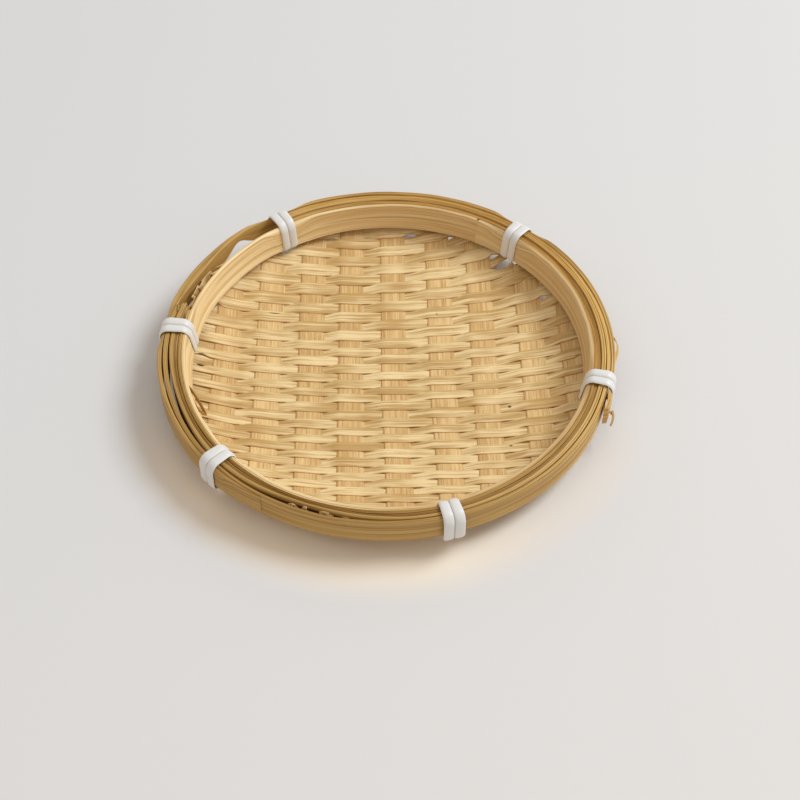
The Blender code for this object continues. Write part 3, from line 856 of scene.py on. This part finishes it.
# %% Wefts
WEFT_LANES = 15
WEFT_STEP = 0.0004
WEFT_RIDGE = 0.00003
WEFT_CROWN = 0.00018
WEFT_WIDTH_WANDER = (0.012, 0.0001)
WEFT_SIDE_WANDER = (0.017, 0.0001)
WEFT_ROLL_WANDER = (0.012, 0.00005)
WEFT_END_WANDER = 0.0006
FRONT_REACH = 0.0037
BACK_REACH = 0.0011
CHINKS = ((7.5, 56.2, 2.0, 0.9), (19.5, 53.7, 1.5, 0.8), (33.0, 45.2, 1.4, 0.9), (35.9, 42.8, 2.8, 1.8),
          (42.0, 42.0, 1.3, 1.1), (42.6, 34.7, 1.1, 0.9), (47.0, 26.8, 1.3, 0.9), (-52.2, 26.0, 1.8, 1.5),
          (-54.5, 3.5, 1.6, 1.0), (-54.8, 14.6, 1.4, 0.9), (-16.5, 55.0, 1.4, 0.6), (56.0, 2.0, 0.8, 0.8))


def row_pitch(row):
    """The distance from a weft to its neighbours, on average."""
    near, far = max(row - 1, 0), min(row + 1, len(row_y) - 1)
    return (row_y[far] - row_y[near]) / (far - near)


def rim_reach(row, side):
    """How far an edge of a weft reaches on towards the rim, which only the first and the last do."""
    if row == 0 and side < 0:
        return FRONT_REACH
    return BACK_REACH if row == len(row_y) - 1 and side > 0 else 0.0


def held_back(x, row, side, pitch):
    """How far one edge of a weft stays back from its neighbour: less than nothing where it reaches on."""
    offset = row_y[row]
    back = x * 0 - rim_reach(row, side)
    for place, depth, reach, opening in np.array(CHINKS) / 1000:
        away = (depth - offset - bow(place, offset)) * side
        if 0 < away < pitch:
            back = back + opening * np.exp(-((x - place) / reach) ** 2)
    return back


def make_weft(row):
    """One narrow strip from left to right."""
    rng = np.random.default_rng(200 + row)
    offset, pitch = row_y[row], row_pitch(row)
    lanes = np.linspace(-1, 1, WEFT_LANES)
    ridges = slat_ridges(rng, WEFT_LANES, WEFT_RIDGE)

    def path(along, lane):
        return along + lane * 0, offset + bow(along, offset) + lane

    front, back = rim_reach(row, -1), rim_reach(row, 1)
    edges = lanes * (pitch + front + back) / 2 + (back - front) / 2
    limit = climbing_radius + rng.uniform(-WEFT_END_WANDER, WEFT_END_WANDER)
    reaches = end_reaches(path, edges, limit)
    stations = strip_stations(reaches, WEFT_STEP, TIP_RUN)
    middle = stations.mean(axis=1)
    level, share, roll = weft_line(row, stations, rng)
    width = pitch * share + wander(rng, middle, *WEFT_WIDTH_WANDER)[:, None]
    front, back = (held_back(middle, row, side, pitch)[:, None] for side in (-1, 1))
    spread = lanes * (width - front - back) / 2 + (front - back) / 2
    spread = spread + wander(rng, middle, *WEFT_SIDE_WANDER)[:, None]
    level = level - lanes * (roll + wander(rng, middle, *WEFT_ROLL_WANDER)[:, None])
    piece = make_slat(f"narrow_strip_{row + 1:02d}", stations, offset + bow(stations, offset) + spread, level,
                      lanes, WEFT_THICKNESS, WEFT_CROWN, ridges, stations, spread, row * 1.3 + 0.7)
    dress(piece, WEFT_NAMES[row], weft_finish)
    return round(pitch * 1000, 2)


print("distances between the rows, mm", [make_weft(row) for row in range(len(row_y))])

# %% [markdown]
# ## The path of the ties
# The ties come before the laths, because the laths bend under them. Each tie is a flat strap in
# a plane through the tray's axis. Its path is a frame round the whole rim, with an arch over
# the top and wide round shoulders, the outer one widest. Where a strap pulls, the tops of the
# laths give way: the outer ones sink to fit the shoulder.

# %% Path of the ties
BAND_WIDTH = 0.0029
BAND_THICKNESS = 0.00055
BAND_PITCH = 0.0030
BAND_AIR = 0.00008
BAND_SHOULDER = 0.0025
BAND_INNER_SHOULDER = 0.0022
BAND_FOOT = 0.0014
BAND_ARCH = 0.00035
BAND_ARCH_FULLNESS = 0.7
BAND_CORNER_STEPS = 8
SINK_DEGREES = 7.0

band_room = BAND_AIR + BAND_THICKNESS / 2


def arc(radius, height, corner, start):
    """A quarter turn inside a corner of the frame: radius, height and outward direction."""
    angle = np.radians(start + np.linspace(0, 90, BAND_CORNER_STEPS + 1))
    middle_radius = radius - corner if start in (-90, 0) else radius + corner
    middle_height = height - corner if start in (0, 90) else height + corner
    radii, heights = middle_radius + corner * np.cos(angle), middle_height + corner * np.sin(angle)
    return np.stack((radii, heights, angle), axis=-1)


def frame_path():
    """Once round the rim in its own plane: radius, height and outward direction at each step."""
    inner, outer = hoop_inner - band_room, rim_radius + band_room
    low, high = hoop_bottom - band_room, rim_top + band_room
    path = np.concatenate((arc(outer, low, BAND_FOOT, -90), arc(outer, high, BAND_SHOULDER, 0),
                           arc(inner, high, BAND_INNER_SHOULDER, 90), arc(inner, low, BAND_FOOT, 180)))
    share = np.clip((path[:, 0] - inner) / (outer - inner), 0, 1)
    arch = BAND_ARCH * np.sin(share * math.pi) ** BAND_ARCH_FULLNESS
    path[:, 1] += np.where(path[:, 1] > rim_top / 2, arch, 0)
    return path


def near_tie(turn):
    """How near an azimuth is to a tie: 1 under it, falling off to 0 a little way beyond."""
    found = turn * 0
    for azimuth in tie_azimuths.values():
        found = np.maximum(found, np.exp(-(degrees_away(turn, azimuth) / SINK_DEGREES) ** 4))
    return found


def ceiling(radius):
    """The height under a strap at a radius."""
    outward = radius - (rim_radius + band_room - BAND_SHOULDER)
    inward = hoop_inner - band_room + BAND_INNER_SHOULDER - radius
    heights = []
    for reach, corner in ((outward, BAND_SHOULDER), (inward, BAND_INNER_SHOULDER)):
        square = (corner - band_room) ** 2 - np.clip(reach, 0, corner) ** 2
        heights.append(rim_top + band_room - corner + np.sqrt(np.clip(square, 0, 1)))
    return np.minimum(*heights)


print("under a strap the outer laths sink, mm", round(float(rim_top - ceiling(rim_radius)) * 1000, 2))

# %% [markdown]
# ## The shape of the rim
# Neither the hoop nor the laths are true circles. The hoop is pressed in at both sides and out
# at the front, and the outermost lath lies inwards all round but at the front. Each of these
# two is given by four numbers in millimetres. What lies between them moves by a share of both.

# %% Places in the rim
HOOP_PUSH = (-0.175, 0.15, -0.5, -0.675)
OUTER_PUSH = (-0.54, -0.2, -0.475, -0.26)


def push(turn, numbers):
    """How far a ring is pushed off its circle: evenly, to the right, to the back and oval."""
    even, right, back, oval = numbers
    return (even + right * np.cos(turn) + back * np.sin(turn) + oval * np.cos(2 * turn)) / 1000


def polar(turn, radius, height):
    """Points from their azimuths, radii and heights."""
    return np.stack((radius * np.cos(turn), radius * np.sin(turn), height), axis=-1)


def in_rim(turn, radius, height):
    """Points in the rim, moved with the hoop, with the outermost lath, or in between."""
    share = np.clip((radius - hoop_outer) / (rim_radius - hoop_outer), 0, 1)
    radius = radius + push(turn, HOOP_PUSH) * (1 - share) + push(turn, OUTER_PUSH) * share
    return polar(turn, radius - lean_in(radius, height), height)


for ring, numbers in (("hoop", HOOP_PUSH), ("outermost lath", OUTER_PUSH)):
    pushes = [round(float(push(math.radians(turn), numbers)) * 1000, 2) for turn in (0, 90, 180, 270)]
    print(ring, "pushed at the right, back, left and front, mm", pushes)

# %% [markdown]
# ## The lath maker
# The rim is a bundle of thin laths on edge round a taller inner hoop. Seen from above, each
# shows its split top edge: ochre, fibrous, a little uneven, close to the next. A lath is a
# ring with rounded edges whose height and place wander, and it sinks under the ties. The
# outermost one is also notched from below beside the back left tie, where the photograph
# shows the floor through the open rim.

# %% Lath maker
LATH_STEP_DEGREES = 0.5
LATH_CORNER = 0.00013
SPLIT_EDGE = 0.00015
FACE_ROWS = 25
FACE_RIDGE = 0.00004
EDGE_ROWS = 9
GAP_SHADE_DEPTH = 0.0013
NOTCH_DEGREES = (134.8, 4.0)
TOP_WANDER = (0.013, 0.00016)
BOTTOM_WANDER = (0.016, 0.00016)
SIDE_WANDER = (0.03, 0.000096)
SPLIT_WANDER = (0.0035, 0.000064)
SHAVED_SHARE = 0.03


def lath_section(height):
    """Once round a lath's section: shares of its thickness and height, and how much is top edge."""
    low, high = LATH_CORNER / height, 1 - LATH_CORNER / height
    rows = np.linspace(low, high, FACE_ROWS)
    edge = np.linspace(0, 1, EDGE_ROWS)
    across = 0.5 - 0.5 * np.cos(edge * math.pi)
    lift = np.sin(edge * math.pi) ** 0.6 * LATH_CORNER / height
    inner = np.stack((np.zeros(FACE_ROWS), rows, np.zeros(FACE_ROWS)), axis=-1)
    over = np.stack((across, high + lift, np.ones(EDGE_ROWS)), axis=-1)
    outer = np.stack((np.ones(FACE_ROWS), rows[::-1], np.zeros(FACE_ROWS)), axis=-1)
    under = np.stack((across[::-1], low - lift, np.zeros(EDGE_ROWS)), axis=-1)
    return np.concatenate((inner, over[1:-1], outer, under[1:-1]))


def shaved(turn, tips):
    """How thick a lath is, as a share, if its two ends are shaved down over these lengths."""
    before, after = (turn - turn[0]) * rim_radius, (turn[-1] - turn) * rim_radius
    shares = [np.clip(run / max(tip, 1e-9), 0, 1) for run, tip in zip((before, after), tips)]
    return np.minimum(*shares) * (1 - SHAVED_SHARE) + SHAVED_SHARE


def lath_rings(rng, turn, section, inner, outer, bottom, top, slide, tips, notch):
    """The rings of points of a lath."""
    run = turn[:, 0] * rim_radius
    upper = top + wander(rng, run, *TOP_WANDER)[:, None]
    lower = bottom + wander(rng, run, *BOTTOM_WANDER)[:, None] + notch * bulge(turn, *NOTCH_DEGREES)
    radius = inner + (outer - inner) * section[:, 0] * shaved(turn, tips)
    radius = radius + wander(rng, run, *SIDE_WANDER)[:, None]
    radius = radius + rng.uniform(-1, 1, len(section)) * (1 - section[:, 2]) * FACE_RIDGE
    height = lower + (upper - lower) * section[:, 1]
    split = rng.uniform(-1, 1, len(section)) * section[:, 2] * SPLIT_EDGE
    height = height + split + section[:, 2] * wander(rng, run, *SPLIT_WANDER)[:, None]
    radius = radius + slide(turn, radius)
    sunk = near_tie(turn) * np.clip((rim_top - ceiling(radius)) / (rim_top - bottom), 0, 1)
    height = height - (height - bottom) * sunk
    return in_rim(turn, radius, height)


def painted_gap_shade(section, height, shares):
    """How much painted shade each point of a lath's section takes in the gaps, by how deep it lies below its
    top edge on the faces that are hidden.
    """
    depth = np.clip((1 - section[:, 1]) * height / GAP_SHADE_DEPTH, 0, 1)
    return depth * np.where(section[:, 0] < 0.5, shares[0], shares[1]) * (1 - section[:, 2])


def stay(turn, radius):
    """The slide of a lath that stays where it is."""
    return radius * 0


def make_lath(name, node, finish, seed, span, inner, outer, bottom, top,
              slide=stay, tips=(0, 0), gap_shade=(0, 0), notch=0.0):
    """Bend a lath round the rim between two azimuths.

    Slide is the function that moves it in or out, tips are the lengths over which its ends
    are shaved, and gap shade is how much painted shade darkens its inner and its outer face.
    """
    rng = np.random.default_rng(seed)
    count = max(int(math.ceil(math.degrees(span[1] - span[0]) / LATH_STEP_DEGREES)), 4)
    turn = np.linspace(span[0], span[1], count + 1)[:, None]
    section = lath_section(top - bottom)
    rings = lath_rings(rng, turn, section, inner, outer, bottom, top, slide, tips, notch)
    steps = np.hypot(np.diff(section[:, 0]) * (outer - inner), np.diff(section[:, 1]) * (top - bottom))
    around = np.concatenate(([0.0], np.cumsum(steps)))
    grain = grain_at(turn * rim_radius * 1000, around * 1000, seed * 0.37)
    piece = skin(name, rings, grain, painted_gap_shade(section, top - bottom, gap_shade))
    dress(piece, node, finish)


def azimuth_span(node):
    """The azimuths where a lath starts and ends, going round from its start."""
    points = corners(node)
    angles = np.sort(np.arctan2(points[:, 1], points[:, 0]))
    gaps = np.diff(np.concatenate((angles, angles[:1] + math.tau)))
    widest = int(np.argmax(gaps))
    start, end = float(angles[(widest + 1) % len(angles)]), float(angles[widest])
    return start, end if end > start else end + math.tau


print("a lath's section has", len(lath_section(rim_top - hoop_bottom)), "points")

# %% [markdown]
# ## Two finishes for the rim
# The hoop is the palest bamboo of the tray, planed, with long even tones. The laths are
# deeper, with brown fibres on their split top edges and painted shade on their hidden faces,
# so that the thin gaps between them read as lines. Painted shade makes both browner on one
# side of the tray, the hoop at the right and the laths at the front left.

# %% Rim finishes
# The last three numbers of each paint shade on one side of the tray.
hoop_finish = bamboo("hoop_bamboo", colour(255, 236, 188), colour(228, 190, 128), colour(150, 104, 50),
                     colour(120, 78, 32), 0.6, 2.3, stretch=4.0, blotch=0.2, streak=0.4, fleck=0.3,
                     shaded_side=(0.95, 0.0, 0.34))
lath_finish = bamboo("lath_bamboo", colour(234, 194, 114), colour(182, 136, 62), colour(104, 62, 10),
                     colour(76, 46, 14), 0.42, 2.3, stretch=3.0, blotch=0.3, streak=0.6, cut_and_shade=0.85,
                     top=0.12, shaded_side=(-0.6, -0.75, 0.34))
for finish in (hoop_finish, lath_finish):
    print(finish.material.name, "has", len(finish.tree.nodes), "shader nodes")

# %% [markdown]
# ## The hoop
# The hoop is the inside wall of the tray. It is one lath that goes all the way round, and its
# two ends meet at the back right in a seam as fine as a hair.

# %% Hoop
HOOP_JOINT_DEGREES = 61.0
HOOP_JOINT_GAP = 0.0008
joint = math.radians(HOOP_JOINT_DEGREES)
make_lath("hoop", "inner_hoop", hoop_finish, 31, (joint, joint + math.tau - HOOP_JOINT_GAP),
          hoop_inner, hoop_outer, hoop_bottom, rim_top)
print("hoop seam, mm", round(HOOP_JOINT_GAP * hoop_inner * 1000, 2))

# %% [markdown]
# ## The laths
# Five laths share the room outside the hoop: three thick ones and two thin covers over the
# strips' ends. Each begins and ends where its node does, with a hair seam to the next. A
# slide function then moves a lath in or out along its way, by smooth bumps that are listed
# as a height in metres, an azimuth and a width in degrees. So a lath is squeezed on the hoop,
# set apart from its neighbour, or sprung off the rim. The last column of the list of laths is
# the height of the notch.

# %% Laths
LATH_SEAM = 0.00017
COVER_SEAM = 0.00008
NODE_GAP = 0.0003
NOTCH_HEIGHT = 0.0037
OUTER_TIP = 0.012
SQUEEZED = ((-0.0009, 200, 17), (-0.0014, 249, 14))
APART = ((-0.0002, 198, 16),)
THICKER = ((-0.0017, 153, 13),)
SPRUNG = ((0.0007, 337, 6),)
FRONT_SEAM_DEGREES = (289, 50)
lath_pitch = (rim_radius - third_lath_inner + NODE_GAP) / 3
cover_pitch = (third_lath_inner - hoop_outer) / 2
first_edge = third_lath_inner + lath_pitch
second_edge = first_edge + lath_pitch
cover_edge = hoop_outer + cover_pitch


def bulges(turn, bumps):
    """The sum of some smooth bumps round the rim."""
    return sum(height * bulge(turn, middle, half) for height, middle, half in bumps)


def squeezed(turn, radius):
    """The third lath and the covers are squeezed on the hoop at the left and at the front left."""
    return bulges(turn, SQUEEZED) * np.clip((radius - hoop_outer) / (first_edge - hoop_outer), 0, 1)


def apart(turn, radius):
    """The second lath lies off the outermost at the left, and is the outer one at the front."""
    return bulges(turn, APART) + LATH_SEAM * bulge(turn, *FRONT_SEAM_DEGREES) ** 0.5 + radius * 0


def outermost(turn, radius):
    """The outermost lath is thicker inwards at the back left, and its right end has sprung off."""
    thicker = bulges(turn, THICKER) * np.clip((rim_radius - radius) / lath_pitch, 0, 1)
    return thicker + bulges(turn, SPRUNG)


# The sixth column is how much painted shade darkens a lath's inner and outer face in the gaps.
LATHS = (
    ("outer_lath", second_edge, rim_radius, outermost, (0, OUTER_TIP), (0, 0), NOTCH_HEIGHT),
    ("second_lath", first_edge, second_edge - LATH_SEAM, apart, (0, 0), (1, 0), 0.0),
    ("third_lath", third_lath_inner, first_edge - LATH_SEAM, squeezed, (0, 0), (1, 1), 0.0),
    ("outer_cover_lath", cover_edge, third_lath_inner - COVER_SEAM, squeezed, (0, 0), (1, 1), 0.0),
    ("inner_cover_lath", hoop_outer + COVER_SEAM, cover_edge - COVER_SEAM, squeezed, (0, 0), (1, 1), 0.0))
for number, (name, inner, outer, slide, tips, gap_shade, notch) in enumerate(LATHS):
    low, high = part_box(name)
    span = azimuth_span(name)
    make_lath(f"{name}_split", name, lath_finish, 41 + number, span,
              inner, outer, low.z, high.z, slide, tips, gap_shade, notch)
    degrees = [round(math.degrees(angle), 1) for angle in span]
    print(name, "azimuths", degrees, "from", round(inner, 4), "to", round(outer, 4), "top", round(high.z, 4))

# %% [markdown]
# ## Loose splints
# The handmade rim isn't tidy. At the right the outermost lath ends in a hooked tail and its
# bark has lifted. At the left a strip's end has curled up inside the hoop, and beyond the
# left tie the stubs of the laths are frayed. Fibres lie in the gap at the front left. Each is
# a small slat swept along a few points. The list gives its width and thickness in
# millimetres, then the points: azimuth in degrees, radius and height in millimetres.

# %% Splints
SPLINT_STEPS = 25
SPLINT_LANES = 5
SPLINT_SOFTNESS = 0.25
SPLINT_TAPER = (2.5, 0.35)
SPLINT_WIDTHS = (0.85, 1.1)
SPLINT_LEAN = 0.4
SPLINT_CROWN = 0.6
SPLINTS = (
    ("tail_bar", "outer_lath", 1.1, 0.6,
     ((338.6, 63.6, 11.6), (338.0, 65.0, 11.2), (337.5, 66.6, 10.8), (337.2, 67.6, 10.2))),
    ("tail_hook", "outer_lath", 1.3, 0.5,
     ((338.3, 66.6, 11.0), (337.0, 67.4, 10.6), (335.9, 67.6, 9.4), (335.5, 67.3, 8.0))),
    ("tail_fibre", "outer_lath", 0.6, 0.3,
     ((341.0, 64.6, 13.4), (339.0, 64.9, 12.9), (337.6, 65.6, 11.8))),
    ("lifted_bark", "outer_lath", 2.2, 0.3,
     ((362.6, 64.5, 12.2), (360.6, 65.4, 12.6), (358.6, 65.9, 12.3),
      (356.8, 65.7, 11.4), (355.0, 64.8, 10.4))),
    ("left_curl", "inner_hoop", 1.7, 0.35,
     ((195.2, 57.9, 12.9), (196.6, 56.9, 11.6), (198.8, 55.9, 9.8),
      (201.0, 55.2, 7.8), (202.6, 54.9, 6.4))),
    ("left_curl_back", "inner_hoop", 1.3, 0.35,
     ((202.4, 54.9, 6.6), (200.8, 56.4, 7.6), (198.6, 57.2, 9.4), (196.8, 57.6, 11.2))),
    ("left_fray", "third_lath", 0.7, 0.3,
     ((164.0, 63.4, 12.6), (166.0, 62.7, 14.0), (168.0, 61.6, 14.4))),
    ("left_fray_inner", "third_lath", 0.9, 0.3,
     ((166.6, 60.2, 12.4), (168.4, 59.6, 13.8), (170.4, 58.9, 14.3))))
FIBRE_COUNT = 14
FIBRE_DEGREES = (243, 268)
FIBRE_LENGTH_DEGREES = (0.6, 3.2)
FIBRE_RADIUS = (62.4, 63.3)
FIBRE_HEIGHT = (11.4, 13.2)
FIBRE_WIDTH = (0.35, 0.8)
FIBRE_THICKNESS = 0.2


def unit(vectors):
    """Vectors of length 1."""
    return vectors / np.linalg.norm(vectors, axis=1)[:, None]


def make_splint(name, node, finish, seed, points, width, thickness):
    """A loose bit of splint, swept along points given by azimuth, radius and height."""
    rng = np.random.default_rng(seed)
    given = np.array(points, dtype=float)
    steps = np.linspace(0, len(given) - 1, SPLINT_STEPS)
    knots = np.arange(len(given))
    turn, radius, height = (soften(steps, np.interp(steps, knots, values), SPLINT_SOFTNESS)
                            for values in given.T * [[math.radians(1)], [0.001], [0.001]])
    middle = polar(turn, radius, height)
    ahead = unit(np.gradient(middle, axis=0))
    side = unit(np.cross(ahead, polar(turn, 1.0, turn * 0 + SPLINT_LEAN)))
    lanes = np.linspace(-1, 1, SPLINT_LANES)
    around = there_and_back(lanes) * width / 2000
    arch = (1 - SPLINT_CROWN * lanes ** 2) * thickness / 2000
    slope, blunt = SPLINT_TAPER
    taper = np.clip(np.minimum(steps, steps[-1] - steps) * slope + blunt, 0, 1)
    taper = taper * rng.uniform(*SPLINT_WIDTHS, SPLINT_STEPS)
    across = (taper[:, None] * around)[:, :, None] * side[:, None, :]
    through = np.concatenate((arch, -arch))[None, :, None] * np.cross(side, ahead)[:, None, :]
    grain = grain_at(steps[:, None] * 2.0, around * 1000, seed)
    dress(skin(name, middle[:, None, :] + across + through, grain), node, finish)


for number, (name, node, width, thickness, points) in enumerate(SPLINTS):
    make_splint(name, node, lath_finish, 61 + number, points, width, thickness)
fibre_rng = np.random.default_rng(73)
for number in range(FIBRE_COUNT):
    turn, length = fibre_rng.uniform(*FIBRE_DEGREES), fibre_rng.uniform(*FIBRE_LENGTH_DEGREES)
    radius, height = fibre_rng.uniform(*FIBRE_RADIUS, 3), fibre_rng.uniform(*FIBRE_HEIGHT, 3)
    points = list(zip(np.linspace(turn, turn + length, 3), radius, height))
    make_splint(f"gap_fibre_{number + 1}", "third_lath", hoop_finish, 81 + number,
                points, fibre_rng.uniform(*FIBRE_WIDTH), FIBRE_THICKNESS)
print("splints", len(SPLINTS), "and", FIBRE_COUNT, "fibres in the gap")

# %% [markdown]
# ## The ties
# Each tie is one flat strap of soft white plastic that follows the path found above twice:
# up the outside, over the top, down the inside and under the weave. The second turn lies
# beside the first. A real strap is a little thicker in the middle than at its sides, and that
# roundness is what catches the light.

# %% Ties
BAND_LANES = 13
BAND_CROWN = 0.0002
BAND_SQUARENESS = 5
BAND_EDGE = 0.00001


def band_section():
    """Once round the strap's section: shares of its width and heights over its middle."""
    lanes = np.linspace(-1, 1, BAND_LANES)
    half = BAND_THICKNESS / 2 * np.sqrt(1 - np.abs(lanes) ** BAND_SQUARENESS) + BAND_EDGE
    crown = BAND_CROWN * (1 - lanes ** 2) - BAND_CROWN / 2
    return there_and_back(lanes), np.concatenate((half + crown, -half[::-1]))


def make_tie(name):
    """One strap, twice round the rim."""
    azimuth = tie_azimuths[name]
    radius, height, outward = np.tile(frame_path(), (2, 1)).T[:, :, None]
    sideways = np.repeat([-BAND_PITCH / 2, BAND_PITCH / 2], len(radius) // 2)
    lanes, heights = band_section()
    turn = azimuth + (sideways[:, None] + lanes * BAND_WIDTH / 2) / rim_radius
    rings = in_rim(turn, radius + heights * np.cos(outward), height + heights * np.sin(outward))
    grain = grain_at(np.arange(len(radius))[:, None], lanes, azimuth)
    dress(skin(f"{name}_strap", rings, grain), name, tie_finish)


tie_finish = Finish("tie_plastic", Roughness=0.4, Base_Color=colour(226, 224, 221))
for name in TIE_NAMES:
    make_tie(name)
print("straps", len(TIE_NAMES), "with", len(frame_path()), "stations in a turn")
